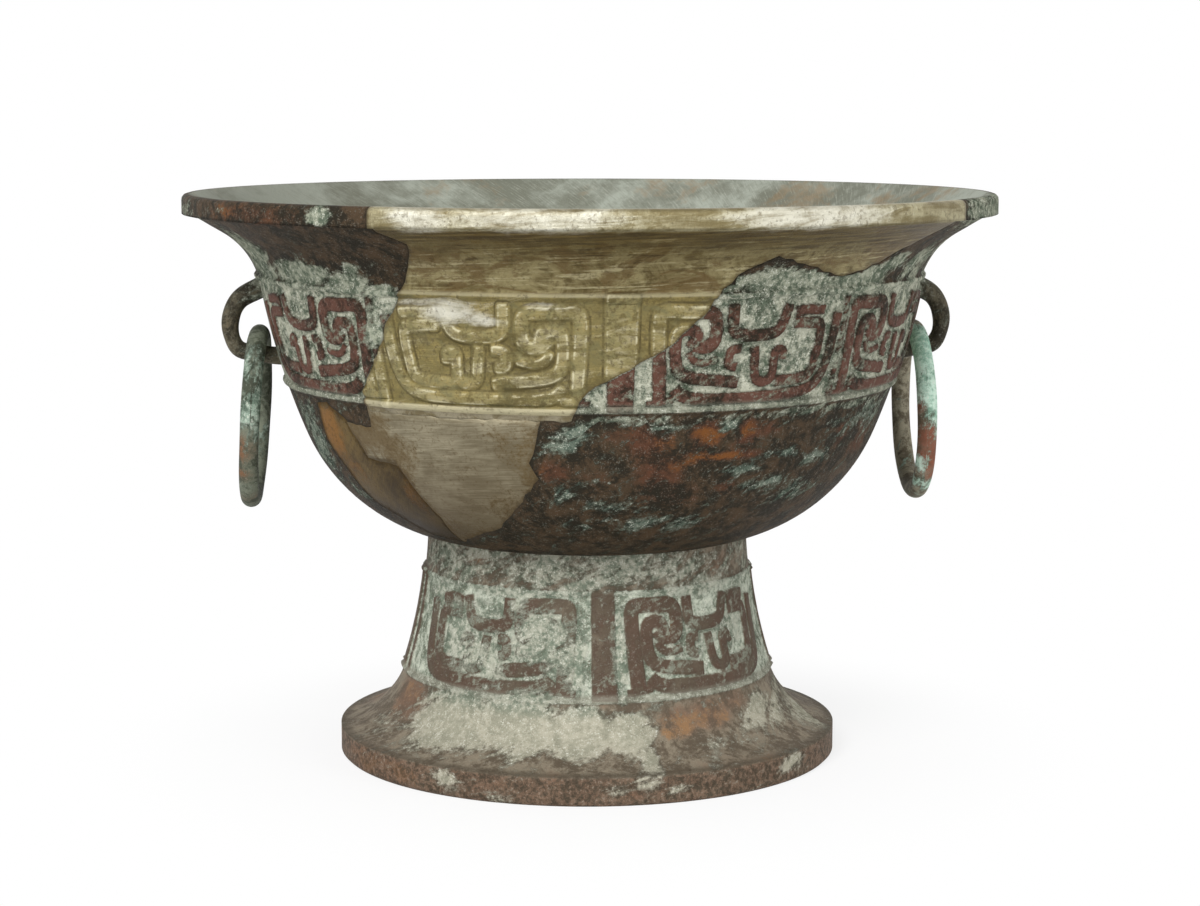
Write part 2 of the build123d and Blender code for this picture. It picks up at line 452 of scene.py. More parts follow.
def soft_marks(turn, z, marks):
    """Strength at each place of listed oval marks: (degrees, height in mm, half sizes, strength)."""
    strength = np.zeros(len(turn))
    for centre, level, half_turn, half_height, amount in marks:
        away = (turn - centre + 180) % 360 - 180
        oval = (away / half_turn) ** 2 + ((z / MM - level) / half_height) ** 2
        strength = np.maximum(strength, amount * np.exp(-mark_fade * oval**1.5))
    return strength


def carved(name, mesh, flat, strokes, spots, bars, crust_marks, carving):
    """Wall with raised strokes and crust as a plain mesh; carving is stroke height, edge and crust height."""
    obj = link(name, mesh)
    points = places(mesh)
    store(mesh, "flat", flat)
    store(mesh, "crust", soft_marks(turn_of(points), points[:, 2], crust_marks))
    helpers = [stroke_curve("strokes", strokes), placing_points("spots", spots), stroke_curve("bars", bars)]
    tree, ids = carving_tree()
    modifier = obj.modifiers.new("carving", "NODES")
    modifier.node_group = tree
    inputs = ("Strokes", "Places", "Bars", "Height", "Edge", "Crust")
    for key, value in zip(inputs, (*helpers, *carving)):
        modifier[ids[key]] = value
    plain_mesh(obj)
    for helper in helpers:
        bpy.data.objects.remove(helper)
    keep_within(obj.data)
    return obj


def keep_within(mesh):
    """Draws points back that crust has pushed past the rim or below the foot."""
    points = places(mesh)
    radius = np.hypot(points[:, 0], points[:, 1])
    points[:, :2] *= np.minimum(1, rim_radius / np.maximum(radius, MM))[:, None]
    points[:, 2] = np.clip(points[:, 2], 0, height)
    mesh.vertices.foreach_set("co", points.ravel())


def unrolled(points, radius, low, line):
    """Place on the unrolled band: round the wall, up it, and far off for points that are not on its face."""
    turn = np.radians(turn_of(points))
    off = np.hypot(points[:, 0], points[:, 1]) - np.interp(points[:, 2], line.imag, line.real)
    on_face = np.abs(off) < bead_radius * 1.5
    return np.stack([turn * radius, points[:, 2] - low, np.where(on_face, 0, 1)], axis=1)


# Frieze of the bowl: eight panels, mirrored about the front and back bars
frieze_radius = 95 * MM
panel_width = frieze_radius * math.pi / 4
frieze_tall = frieze_high - frieze_low


def panel_strokes(wide, tall, share=1.0):
    """Strokes of one panel in metres, with a share of their full width."""
    return [
        (share * half * MM, [(u / 100 * wide, v / 100 * tall) for u, v in points])
        for half, points in stroke_widths_and_points
    ]


def panel_spots(radius, turns_and_flips):
    return [(math.radians(turn) * radius, flip) for turn, flip in turns_and_flips]


def upright_bars(radius, tall, turns_and_halves):
    return [
        (half * MM, [(math.radians(turn) * radius, share * tall) for share in (0.0, 0.5, 1.0)])
        for turn, half in turns_and_halves
    ]


frieze_spots = panel_spots(frieze_radius, [
    (0, 1), (37.2, 1), (-1.2, -1), (-39.4, -1), (-180, 1), (-142.8, 1), (180, -1), (142.8, -1)])
frieze_bars = upright_bars(frieze_radius, frieze_tall, [
    (-0.3, 3.4), (180, 3.4), (-180, 3.4), (40.5, 0.9), (-42.9, 0.9), (139.5, 0.9), (-139.5, 0.9)])

bowl_crust = [
    (0, 90, 180, 60, 0.2), (0, 128, 180, 18, 0.36), (40.5, 128, 1.6, 20, 0.8), (-42.9, 128, 1.6, 20, 0.8),
    (-75, 150, 9, 9, 0.9), (-58, 147, 10, 4, 1), (-47, 145, 7, 3, 1), (-40, 144, 4, 2, 0.9),
    (-45, 150, 2, 3, 0.7), (16, 147, 6, 3, 1), (28, 147, 11, 4, 1.05), (42, 146, 9, 4.5, 1),
    (52, 150, 6, 3, 0.8), (62, 148, 8, 6, 0.75), (76, 150, 10, 10, 0.7), (-10.5, 102.5, 3.5, 4, 0.8),
    (-8, 107, 3, 3.5, 0.8), (-1, 110, 6, 1.6, 0.7), (8, 108.5, 4, 3, 0.75), (20, 108, 3, 4, 0.7),
    (17, 102, 2, 3, 0.4), (30, 107, 5, 3, 0.5), (-10, 89, 5, 2.5, 0.6), (-14, 86, 4, 2, 0.55),
    (-5, 92, 6, 2, 0.5), (-3, 85, 10, 3, 0.55), (5, 79, 22, 3.5, 0.55), (24, 94, 7, 2, 0.6),
    (34, 98, 5, 1.5, 0.6), (30, 90, 10, 3, 0.62), (40, 86, 9, 4, 0.6), (44, 95, 7, 3, 0.6),
    (54, 101, 6, 4, 0.55), (62, 105, 8, 8, 0.6), (14, 84, 8, 2, 0.5), (40, 110, 34, 1.6, 0.62),
    (50, 105, 10, 3, 0.5), (-41.5, 164.5, 2.2, 3, 0.95), (-80, 163, 12, 4, 0.52), (-66, 165, 8, 2, 0.35),
    (68, 164, 16, 6, 0.85), (-74, 98, 8, 15, 0.7), (-66, 84, 6, 4, 0.6), (120, 95, 14, 6, 0.6),
    (150, 150, 18, 4, 0.9), (-150, 104, 16, 7, 0.6), (-120, 90, 14, 5, 0.55), (178, 86, 16, 4, 0.6),
    (-165, 148, 12, 4, 0.9), (105, 148, 16, 5, 0.8), (-105, 146, 14, 5, 0.8),
]
bowl_rust = [
    (0, 100, 180, 60, 0.26), (5, 104, 5, 7, 0.9), (8, 95, 6, 8, 0.85), (16, 106, 4, 4, 1.1),
    (15, 99, 5, 3, 0.9), (24, 105, 2.5, 5, 1.1), (22, 99, 8, 1.8, 1.1), (28, 106, 4, 3, 0.8),
    (50, 102, 3, 5, 0.9), (60, 100, 6, 8, 0.8), (-1, 106, 3, 3, 0.7), (-12, 95, 4, 4, 0.85),
    (10, 88, 8, 5, 0.7), (-5, 92, 5, 5, 0.5), (22, 90, 3, 3, 0.8), (-54, 164, 16, 4, 0.72),
    (110, 102, 18, 10, 0.8), (160, 98, 20, 10, 0.9), (-130, 100, 18, 9, 0.8), (-170, 92, 16, 8, 0.7),
    (-36, 154, 8, 4, 0.25),
]
# Rubbed silver on the rim filling, in part painted highlights: the panel spot and the marks along the lip's
# front
rubbed_silver_and_highlights = [
    (-28, 139, 4.5, 3.5, 0.9), (-23, 137, 4, 2, 0.7), (-30, 141.5, 8, 1.5, 0.6), (-12, 165, 14, 4, 0.7),
    (-2, 165, 8, 4, 0.4), (24, 165, 14, 4, 0.8), (-27, 165, 5, 4, 0.8), (-12, 141, 5, 1.5, 0.5),
]
plate_brown = [
    (-51, 103, 8, 6, 1.0), (-45, 97, 7, 8, 0.8), (-38, 76, 10, 4, 0.6), (-16, 99, 3, 14, 0.9),
    (-19, 101, 4, 11, 0.55), (-24, 84, 4, 6, 0.6), (-47, 108, 4, 1.5, 0.9), (-20, 106, 4, 3, 0.7),
]
strip_warm = [(-63, 102, 4, 9, 1.1), (-60, 90, 4, 6, 0.6), (-44, 84, 3, 7, 0.6), (-40, 77, 3, 4, 0.5)]

old_wall_mesh = bowl_mesh("old_bowl")
flat_places = unrolled(places(old_wall_mesh), frieze_radius, frieze_low, bowl_wall)
worn_strokes = panel_strokes(panel_width, frieze_tall, 0.86)
cord_strokes = panel_strokes(panel_width, frieze_tall, 0.5)
old_wall = carved("old_bowl", old_wall_mesh, flat_places, worn_strokes, frieze_spots, frieze_bars, bowl_crust,
                  (relief_height, 0.55 * MM, crust_height))
new_wall = carved("rim_filling", bowl_mesh("rim_filling"), flat_places, cord_strokes, frieze_spots,
                  frieze_bars, [], (relief_height, 1.9 * MM, 0.0))

# Breaks in the old bronze, as (degrees from the front, share of the height) round each gap
rim_break = [
    (-34, 1.2), (-34, 0.96), (-31, 0.94), (-33.5, 0.9), (-38, 0.83), (-42.5, 0.755), (-48, 0.69),
    (-48, 0.655), (-8.5, 0.655), (-7, 0.69), (-4.5, 0.712), (3.5, 0.755), (7, 0.775), (13, 0.83),
    (17.5, 0.89), (23, 0.92), (30, 0.9), (38, 0.88), (43, 0.888), (51, 0.925), (54, 0.96), (54, 1.2),
]
plate_break = [
    (-56, 0.63), (-49, 0.627), (-48, 0.68), (-13, 0.68), (-15, 0.615), (-16.5, 0.583), (-15, 0.555),
    (-20, 0.505), (-26, 0.46), (-39, 0.428), (-43, 0.418), (-41, 0.47), (-45, 0.562), (-53, 0.57),
]
strip_break = [
    (-65, 0.655), (-61, 0.66), (-50, 0.6), (-30, 0.55), (-35, 0.45), (-43, 0.416),
    (-53, 0.425), (-57, 0.46), (-62, 0.482), (-63.5, 0.536), (-67, 0.59),
]
rough = np.random.default_rng(11)


def ragged(outline, step=2.5 * MM, depth=0.22 * MM):
    """Outline with its runs broken up and shaken a little, as torn metal is."""
    round_scale = math.radians(1) * frieze_radius
    line = np.array([turn * round_scale + 1j * share * height for turn, share in outline])
    if (np.conj(line) * np.roll(line, -1)).imag.sum() < 0:
        line = line[::-1]
    torn = []
    for start, end in zip(line, np.roll(line, -1)):
        count = max(1, round(abs(end - start) / step))
        across = 1j * (end - start) / abs(end - start)
        torn.append(start)
        torn += [start + (end - start) * k / count + across * rough.normal() * depth for k in range(1, count)]
    return [(mark.real / round_scale, mark.imag / height) for mark in torn]


def wall_radius(z):
    return float(np.interp(z, bowl_wall.imag, bowl_wall.real)) if z < flange_end.imag else rim_radius


def break_block(outline, heart):
    """Closed fan from the axis outward through a break outline; heart lies inside the outline."""
    apex = np.array([0, 0, 0.84 * height])
    past_wall = 1.6

    def ray(turn, share):
        angle = math.radians(turn)
        radius = wall_radius(share * height)
        mark = np.array([radius * math.sin(angle), -radius * math.cos(angle), share * height])
        return apex + (mark - apex) * past_wall

    points = [apex, ray(*heart)] + [ray(*mark) for mark in outline]
    count = len(outline)
    pairs = [(2 + i, 2 + (i + 1) % count) for i in range(count)]
    mesh = bpy.data.meshes.new("break")
    mesh.from_pydata(points, [], [(0, b, a) for a, b in pairs] + [(1, a, b) for a, b in pairs])
    return link("break", mesh)


def trim(obj, *cuts):
    """Cuts an object by blocks, one after the other, as INTERSECT or DIFFERENCE."""
    for operation, block in cuts:
        modifier = obj.modifiers.new("trim", "BOOLEAN")
        modifier.operation = operation
        modifier.object = block
        modifier.solver = "MANIFOLD"
    return plain_mesh(obj)


rim_line, plate_line, strip_line = [ragged(line) for line in (rim_break, plate_break, strip_break)]
rim_block = break_block(rim_line, (5, 0.985))
plate_block = break_block(plate_line, (-30, 0.58))
strip_block = break_block(strip_line, (-52, 0.54))
plate = link("belly_plate", new_wall.data.copy())
strip = link("belly_strip", new_wall.data.copy())
trim(new_wall, ("INTERSECT", rim_block))
trim(plate, ("DIFFERENCE", rim_block), ("INTERSECT", plate_block))
trim(strip, ("DIFFERENCE", rim_block), ("DIFFERENCE", plate_block), ("INTERSECT", strip_block))
trim(old_wall, ("DIFFERENCE", rim_block), ("DIFFERENCE", plate_block), ("DIFFERENCE", strip_block))
for block in (rim_block, plate_block, strip_block):
    bpy.data.objects.remove(block)

# Foot band: four panels of the same strokes, drawn closer, with bars between
band_radius = 52 * MM
band_tall = band_high - band_low
band_panel = band_radius * math.radians(76)
band_spots = panel_spots(band_radius, [(0, 1), (-1.8, -1), (180, -1), (-180, 1)])
band_bars = upright_bars(band_radius, band_tall, [
    (0, 3.2), (180, 3.2), (-180, 3.2), (90, 3.2), (-90, 3.2), (80, 0.7), (-80, 0.7), (100, 0.7), (-100, 0.7)])
foot_crust = [
    (0, 30, 180, 60, 0.26), (-45, 18, 19, 8, 1.1), (-25, 20, 16, 9, 1.1), (-8, 18, 12, 7, 1.1),
    (6, 17, 8, 6, 1.1), (10, 12, 3, 5, 0.9), (8, 6, 4, 4, 0.72), (2, 4.5, 5, 2, 0.6), (15, 4, 5, 2.2, 0.62),
    (48, 5, 6, 4, 0.66), (45, 15, 12, 2.5, 0.5), (56, 17, 9, 3, 0.52), (35, 13, 14, 3, 0.46),
    (-20, 42, 12, 10, 1.05), (-44, 37, 9, 5, 0.95), (-52, 40, 7, 10, 0.85), (-32, 28, 12, 2, 0.75),
    (-72, 14, 12, 7, 0.5), (-28, 50, 5, 4, 0.8), (-55, 50, 4, 4, 0.75), (-38, 40, 26, 13, 0.64),
    (-62, 44, 8, 6, 0.5), (-10, 38, 5, 15, 0.85), (5, 38, 3, 14, 0.9), (-36, 33, 8, 4, 0.9),
    (-64, 50, 9, 5, 0.7), (-28, 55, 24, 2, 0.7), (0, 62, 60, 8, 0.74), (58, 17, 16, 6, 0.7),
    (78, 16, 14, 8, 0.66), (-60, 62, 30, 8, 0.74), (60, 62, 30, 8, 0.56), (30, 56, 30, 4, 0.6),
    (-38, 6, 4, 3, 0.7), (-24, 1, 4, 2, 0.68), (25, 40, 18, 14, 0.5), (52, 40, 14, 14, 0.5),
    (130, 18, 20, 8, 0.9), (170, 40, 20, 14, 0.6), (-140, 20, 22, 9, 0.9), (160, 62, 60, 6, 0.7),
    (-170, 5, 12, 4, 0.7), (110, 6, 10, 4, 0.7),
]
foot_rust = [
    (0, 30, 180, 60, 0.2), (-70, 20, 12, 8, 1.05), (-62, 4, 18, 5, 1), (-30, 5, 14, 4, 0.72),
    (-12, 6, 10, 4, 0.66), (30, 8, 14, 3, 0.55), (22, 19, 8, 5, 0.95), (32, 20, 11, 5, 0.95),
    (43, 22, 9, 4, 0.85), (-45, 62, 7, 4, 0.9), (-22, 60, 6, 3, 0.9), (46, 60, 14, 6, 0.8),
    (5, 3.5, 3, 2, 0.9), (40, 8, 9, 2, 0.6), (0, 26, 4, 3, 0.7), (62, 48, 6, 8, 0.9), (24, 44, 6, 8, 0.7),
    (150, 10, 20, 5, 0.8), (-110, 14, 14, 6, 0.8), (-160, 44, 20, 10, 0.6),
]
foot_body = foot_mesh("old_foot")
band_places = unrolled(places(foot_body), band_radius, band_low, foot_wall)
foot = carved("old_foot", foot_body, band_places, panel_strokes(band_panel, band_tall), band_spots, band_bars,
              foot_crust, (0.8 * relief_height, 0.6 * MM, crust_height))


def tone(red, green, blue):
    """Screen colour of 0 to 255 as the linear colour that a shader takes."""
    parts = [part / 255 for part in (red, green, blue)]
    return tuple(p / 12.92 if p < 0.04045 else ((p + 0.055) / 1.055) ** 2.4 for p in parts) + (1.0,)


class Finish(Graph):
    """A material: colour, roughness, metal and height as expressions on one shader."""

    def __init__(self, name):
        self.material = bpy.data.materials.new(name)
        self.material.use_nodes = True
        super().__init__(self.material.node_tree)
        self.place = self.add("ShaderNodeTexCoord")["Object"]

    def painted(self, *names):
        """Numbers that the mesh stores at its points, one for each name."""
        return [self.add("ShaderNodeAttribute", {"attribute_name": name})["Fac"] for name in names]

    def speckle(self, scale, detail, rough, bend=0.0):
        """Noise in the piece's own space."""
        return self.noise(self.place, scale, detail, rough, bend)

    def streaks(self, along, up, lean, detail, rough, bend=0.0):
        """Noise on the unrolled place, stretched along the wall and up it, and leaned in degrees."""
        place = self.add("ShaderNodeAttribute", {"attribute_name": "wrap"})["Vector"]
        rotation = (0, 0, math.radians(lean))
        turned = self.add("ShaderNodeMapping", None, {"Vector": place, "Rotation": rotation})
        stretch = (along, up, 1)
        drawn_out = self.add("ShaderNodeVectorMath", {"operation": "MULTIPLY"}, {0: turned, 1: stretch})
        return self.noise(drawn_out, 1.0, detail, rough, bend)

    def level(self):
        return self.add("ShaderNodeSeparateXYZ", None, {0: self.place})["Z"]

    def done(self, colour, roughness, metal, bump, depth, shine=0.5):
        normal = self.add("ShaderNodeBump", None, {"Distance": depth, "Height": bump})
        sockets = {"Base Color": colour, "Roughness": roughness, "Metallic": metal, "Normal": normal,
                   "Specular IOR Level": shine}
        shader = self.add("ShaderNodeBsdfPrincipled", None, sockets)
        self.add("ShaderNodeOutputMaterial", None, {"Surface": shader})
        return self.material


def toned(first, second, share):
    """Shader colour at a share of the way from one to another."""
    return tuple(a + share * (b - a) for a, b in zip(first, second))


def rim_inside(paint, mottle, grain):
    """Grey inside of the rim: slanting rub marks, browned in places, with painted shade to the left and lower
    down.
    """
    rubbed = paint.streaks(260.0, 2600.0, -42.0, 4.0, 0.6)
    stains = paint.speckle(24.0, 5.0, 0.6, 0.5)
    worn = paint.speckle(30.0, 6.0, 0.62, 0.6)
    across = paint.add("ShaderNodeSeparateXYZ", None, {0: paint.place})["X"]
    return paint.glaze(
        tone(116, 118, 105),
        (paint.rise(stains + 0.4 * mottle, -0.14, 0.12), tone(164, 169, 157)),
        (paint.rise(rubbed + 0.3 * grain, 0.0, 0.2, 0.4), tone(178, 180, 167)),
        (paint.fall(rubbed, -0.2, -0.04, 0.35), tone(104, 104, 92)),
        (paint.rise(worn + 0.5 * mottle, 0.04, 0.18, 0.6), tone(134, 112, 82)),
        # Painted shade: darker to the left inside the rim
        (paint.fall(across, -0.9 * rim_radius, -0.2 * rim_radius, 0.5), tone(92, 91, 78)),
        # Painted shade: darker lower down inside the bowl
        (paint.fall(paint.level(), height - 24 * MM, height - 9 * MM, 0.75), tone(84, 82, 70)),
    )


def old_bronze(name, tones, band=(-1.0, -0.9), stroke_tone=(0, 0, 0), veil=0.0, below=(0.0, (0, 0, 0))):
    """Patinated bronze: mottled metal, dyed strokes and pale ground in the band, thin film and grainy crust.

    The veil is how much film the strokes keep; below is the share and tone of the crust under the band."""
    deep, brown, red, orange, crust_dark, crust_pale, groove = [tone(*each) for each in tones]
    black = tone(0, 0, 0)
    dyed, under = tone(*stroke_tone), tone(*below[1])
    low, high = band
    paint = Finish(name)
    wide = paint.speckle(46.0, 7.0, 0.64, 0.8)
    mottle = paint.speckle(150.0, 9.0, 0.7, 0.5)
    grit = paint.speckle(620.0, 7.0, 0.74)
    grain = paint.speckle(2400.0, 3.0, 0.6)
    flow = paint.streaks(60.0, 210.0, -24.0, 9.0, 0.72, 0.5)
    crust, rust, raised, margin, inner = paint.painted("crust", "rust", "raised", "margin", "inner")
    level = paint.level()
    in_band = paint.hill(level, low - 1.2 * MM, low, high, high + 1.2 * MM)
    stroke = in_band * raised
    lower = paint.fall(level, low - 6 * MM, low - 1 * MM, below[0])

    dye = paint.blend(paint.rise(wide + 0.7 * mottle, -0.1, 0.06), toned(dyed, black, 0.4), dyed)
    edge = paint.blend(paint.rise(grit, -0.1, 0.1), tone(60, 52, 42), red)
    film = paint.rise(flow + 0.8 * grit + 0.3 * crust, 0.12, 0.27)
    haze = paint.blend(lower, toned(crust_dark, crust_pale, 0.35), toned(under, black, 0.4))
    metal = paint.glaze(
        deep,
        (paint.rise(mottle + 0.6 * grit, -0.1, 0.1), brown),
        (paint.rise(rust + 1.6 * mottle + 1.2 * grit, 0.4, 1.15, 0.9), red),
        (paint.rise(rust + 2.0 * wide + 1.6 * mottle + 0.8 * grit, 0.8, 1.25, 0.95), orange),
        (paint.rise(0.5 * grit + 0.5 * flow, 0.01, 0.1, 0.85), deep),
        (paint.fall(level, base_edge - 0.8 * MM, base_edge, 0.75), edge),
        (stroke * paint.rise(mottle + 0.9 * wide + 0.8 * grit, -0.22, 0.04, 0.85), dye),
        (film * (0.36 + veil * stroke), haze),
    )

    pits = paint.rise(in_band * (1 - raised) + 1.1 * grit + 0.9 * mottle, 0.3, 0.7)
    ground = paint.blend(paint.rise(0.5 * grit + 0.5 * mottle, -0.08, 0.08), crust_dark, groove)
    cover = paint.rise(crust - 0.24 * stroke + 1.9 * flow + 0.9 * grit, 0.38, 0.72)
    shell = paint.blend(paint.rise(grit + 0.8 * mottle, -0.12, 0.12), crust_dark, crust_pale)
    shell = paint.blend(lower, shell, under)
    dull = paint.rise(cover + pits, 0.0, 1.0)
    rail = in_band * paint.fall(level, low + 0.8 * MM, low + 2.4 * MM, 0.65)
    # Painted shade: a thin dark line along the foot's base edge
    base_edge_shade = paint.hill(level, base_edge - 0.7 * MM, base_edge, base_edge, base_edge + 0.8 * MM)
    colour = paint.glaze(
        metal,
        (pits * 0.92, ground),
        # Painted shade: dark lines along the slopes of the strokes
        (in_band * paint.rise(raised * (1 - raised), 0.08, 0.25, 0.4), deep),
        (rail, paint.blend(grit + 0.5, deep, crust_pale)),
        (cover * (0.55 + 0.35 * crust), shell),
        (paint.rise(grain + 0.7 * grit, 0.1, 0.18) * (0.12 + 0.6 * dull), tone(216, 217, 204)),
        (paint.fall(grain + 0.6 * mottle, -0.15, -0.07) * (0.6 - 0.35 * cover), deep),
        (paint.rise(margin + 0.5 * grit, 0.6, 1.0, 0.6), deep),
        (inner, rim_inside(paint, mottle, grain)),
        # Painted shade line along the foot's base edge
        (base_edge_shade * paint.rise(mottle, -0.1, 0.0, 0.6), tone(58, 50, 40)),
    )
    bump = 0.5 * grit + 0.3 * mottle + (0.3 + 0.7 * dull) * 0.35 * (grain + 0.5) + 0.25 * cover
    return paint.done(colour, 0.6 + 0.25 * dull, 0.0, bump, 0.6 * MM, 0.06)


def brass_filling(name):
    """Pale brushed filling, brown patches and painted shade under the lip, blotched on the panel and rubbed
    silver with painted highlights in places; painted shade beside the strokes and painted highlights on their
    crests and on the beads.
    """
    paint = Finish(name)
    brushed = paint.streaks(55.0, 1500.0, -2.0, 5.0, 0.64)
    wipes = paint.streaks(60.0, 260.0, -5.0, 8.0, 0.7, 0.9)
    filed = paint.streaks(2000.0, 110.0, 9.0, 4.0, 0.6)
    blots = paint.speckle(130.0, 8.0, 0.7, 0.8)
    stains = paint.streaks(45.0, 80.0, 0.0, 8.0, 0.68, 1.2)
    grit = paint.speckle(800.0, 6.0, 0.72)
    raised, margin, inner, silver = paint.painted("raised", "margin", "inner", "rust")
    level = paint.level()
    lip_foot = height - lip_height
    in_band = paint.hill(
        level, frieze_low - 2 * MM, frieze_low - 1 * MM, frieze_high + 0.5 * MM, frieze_high + 1.5 * MM)
    # Painted highlights on the lower and upper beads of the band
    bead_highlight = in_band * paint.fall(level, frieze_low + 0.3 * MM, frieze_low + 0.9 * MM, 0.75)
    top_bead_highlight = paint.rise(level, frieze_high - 0.3 * MM, frieze_high + 0.3 * MM, 0.45)
    on_lip = paint.rise(level, lip_foot + 0.4 * MM, lip_foot + 1.2 * MM)
    below = paint.fall(level, frieze_low - 1.5 * MM, frieze_low - 1.0 * MM)

    shade = level + 30 * MM * blots + 24 * MM * wipes
    neck_shade = paint.blend(paint.rise(brushed, -0.1, 0.15), tone(60, 46, 20), tone(106, 88, 44))
    neck = paint.glaze(
        tone(100, 87, 52),
        (paint.rise(0.4 * wipes + 0.6 * blots, -0.1, 0.08), tone(148, 137, 98)),
        (paint.rise(stains + 0.4 * blots, 0.0, 0.1, 0.7), tone(92, 70, 36)),
        (paint.rise(brushed + 1.2 * wipes, 0.04, 0.22, 0.6), tone(186, 177, 140)),
        (paint.fall(brushed + 1.2 * blots, -0.18, -0.04, 0.5), tone(74, 60, 34)),
        # Brown patches and painted shade under the overhanging lip
        (paint.rise(shade, height - 14 * MM, height - 8 * MM, 0.85) * (1 - on_lip), neck_shade),
    )
    # Painted shade in the grooves along the strokes
    groove_shade = paint.hill(raised, 0.01, 0.1, 0.2, 0.5)
    # Painted highlight along the stroke crests
    crest_highlight = paint.rise(raised, 0.55, 0.85) * paint.ramp(raised, 0.88, 1.0, 1.0, 0.25)
    band = paint.glaze(
        tone(120, 109, 67),
        (raised, tone(134, 124, 82)),
        (paint.rise(stains + 0.6 * blots, -0.02, 0.1, 0.6), tone(100, 88, 48)),
        (paint.rise(blots + 0.8 * grit, -0.03, 0.1, 0.7), tone(148, 132, 80)),
        (paint.fall(blots + 0.5 * wipes, -0.14, -0.04, 0.6), tone(104, 100, 68)),
        (paint.rise(wipes + 0.6 * grit, 0.02, 0.14, 0.5), tone(176, 167, 130)),
        (paint.rise(grit + 0.6 * stains, -0.02, 0.08, 0.65), tone(84, 75, 42)),
        (groove_shade * paint.ramp(blots + 0.5 * wipes, -0.15, 0.15, 0.15, 0.9), tone(74, 64, 34)),
        (crest_highlight * paint.rise(wipes + 0.9 * blots, -0.05, 0.12, 0.8), tone(212, 205, 171)),
        # Painted highlight on the beads
        (paint.math("MAXIMUM", bead_highlight, top_bead_highlight), tone(194, 186, 154)),
    )
    lip = paint.glaze(
        tone(114, 103, 71),
        (paint.rise(wipes + 0.5 * blots, -0.14, 0.14), tone(168, 161, 130)),
        (paint.rise(filed, -0.05, 0.2, 0.4), tone(122, 110, 78)),
    )
    colour = paint.glaze(
        neck,
        (in_band, band),
        (below, paint.blend(paint.rise(blots, -0.1, 0.1), tone(110, 99, 72), tone(146, 138, 116))),
        (on_lip, lip),
        # Rubbed silver, in part painted highlight
        (paint.rise(silver + 1.4 * wipes + 0.8 * blots, 0.3, 1.0, 0.85), tone(214, 212, 198)),
        (paint.rise(grit + 0.5 * wipes, 0.04, 0.16, 0.5), tone(80, 67, 38)),
        (paint.rise(margin + 0.6 * grit, 0.5, 1.0, 0.6) * (1 - below), tone(88, 74, 46)),
        (inner, tone(160, 156, 136)),
    )
    bump = brushed * (1 - on_lip) + 0.5 * filed * on_lip - 0.25 * on_lip + 0.8 * wipes + 1.1 * grit
    metal = 0.5 - 0.25 * in_band + 0.1 * on_lip
    return paint.done(colour, 0.47 + 0.22 * wipes, metal, bump, 0.25 * MM, 0.25)


def satin_plate(name, tones, lean, rub):
    """Satin metal rubbed along one direction, browned in patches and along its edges, with painted shade
    towards the foot.
    """
    low, high, patch, edge_tone = [tone(*each) for each in tones]
    paint = Finish(name)
    rubbed = paint.streaks(110.0, 2600.0, lean, 5.0, 0.62)
    wipes = paint.streaks(60.0, 300.0, lean, 6.0, 0.64, 0.5)
    clouds = paint.speckle(60.0, 5.0, 0.6, 0.4)
    blots = paint.speckle(150.0, 8.0, 0.7, 0.6)
    grit = paint.speckle(1000.0, 6.0, 0.72)
    margin, stained = paint.painted("margin", "rust")
    patches = paint.rise(stained + 2.2 * blots + 1.4 * grit, 0.3, 1.0)
    edge = paint.rise(margin + 1.2 * blots + 0.7 * grit, 0.3, 0.9)
    colour = paint.glaze(
        low,
        (paint.rise(rub * rubbed + 0.3 * wipes + (0.7 - rub) * clouds, -0.1, 0.1), high),
        (patches * 0.85, patch),
        (edge * 0.6, edge_tone),
        (paint.rise(grit + 0.5 * blots, 0.02, 0.16, 0.55), edge_tone),
        # Painted shade: darker towards the foot
        (paint.fall(paint.level() + 12 * MM * clouds, 70 * MM, 103 * MM, 0.8), edge_tone),
    )
    bump = 0.6 * rubbed + 0.4 * wipes + (0.3 + edge) * (grit + 0.5) + 0.6 * patches * (blots + 0.5)
    roughness = 0.515 + 0.15 * wipes + 0.2 * edge
    return paint.done(colour, roughness, 0.12 + 1.1 * rub - 0.3 * edge, bump, 0.16 * MM, 0.8 * rub)


def margin_of(turn, z, outlines):
    """1 on a break line, falling off within a few millimetres of it."""
    fade_width = 2 * MM
    places_flat = np.radians(turn) * frieze_radius + 1j * z
    nearest = np.full(len(turn), 1.0)
    for outline in outlines:
        line = np.array([math.radians(t) * frieze_radius + 1j * share * height for t, share in outline])
        for start, end in zip(line, np.roll(line, -1)):
            run = end - start
            share = np.clip(((places_flat - start) * np.conj(run)).real / abs(run) ** 2, 0, 1)
            nearest = np.minimum(nearest, np.abs(places_flat - start - share * run))
    return np.exp(-nearest / fade_width)


def painted_places(obj, radius, rust_marks, outlines=()):
    """Stores what the finishes read: the unrolled place, warm patches (on the rim filling, rubbed silver and
    painted highlights), nearness to a break and the inside.
    """
    points = places(obj.data)
    turn = turn_of(points)
    z = points[:, 2]
    slack = 0.4 * MM
    hollow = np.interp(z, inside.imag[::-1], inside.real[::-1]) + slack
    store(obj.data, "wrap", np.stack([np.radians(turn) * radius, z, np.zeros(len(z))], axis=1))
    store(obj.data, "rust", soft_marks(turn, z, rust_marks))
    store(obj.data, "margin", margin_of(turn, z, outlines) if outlines else np.zeros(len(z)))
    store(obj.data, "inner", (np.hypot(points[:, 0], points[:, 1]) < hollow).astype(float))


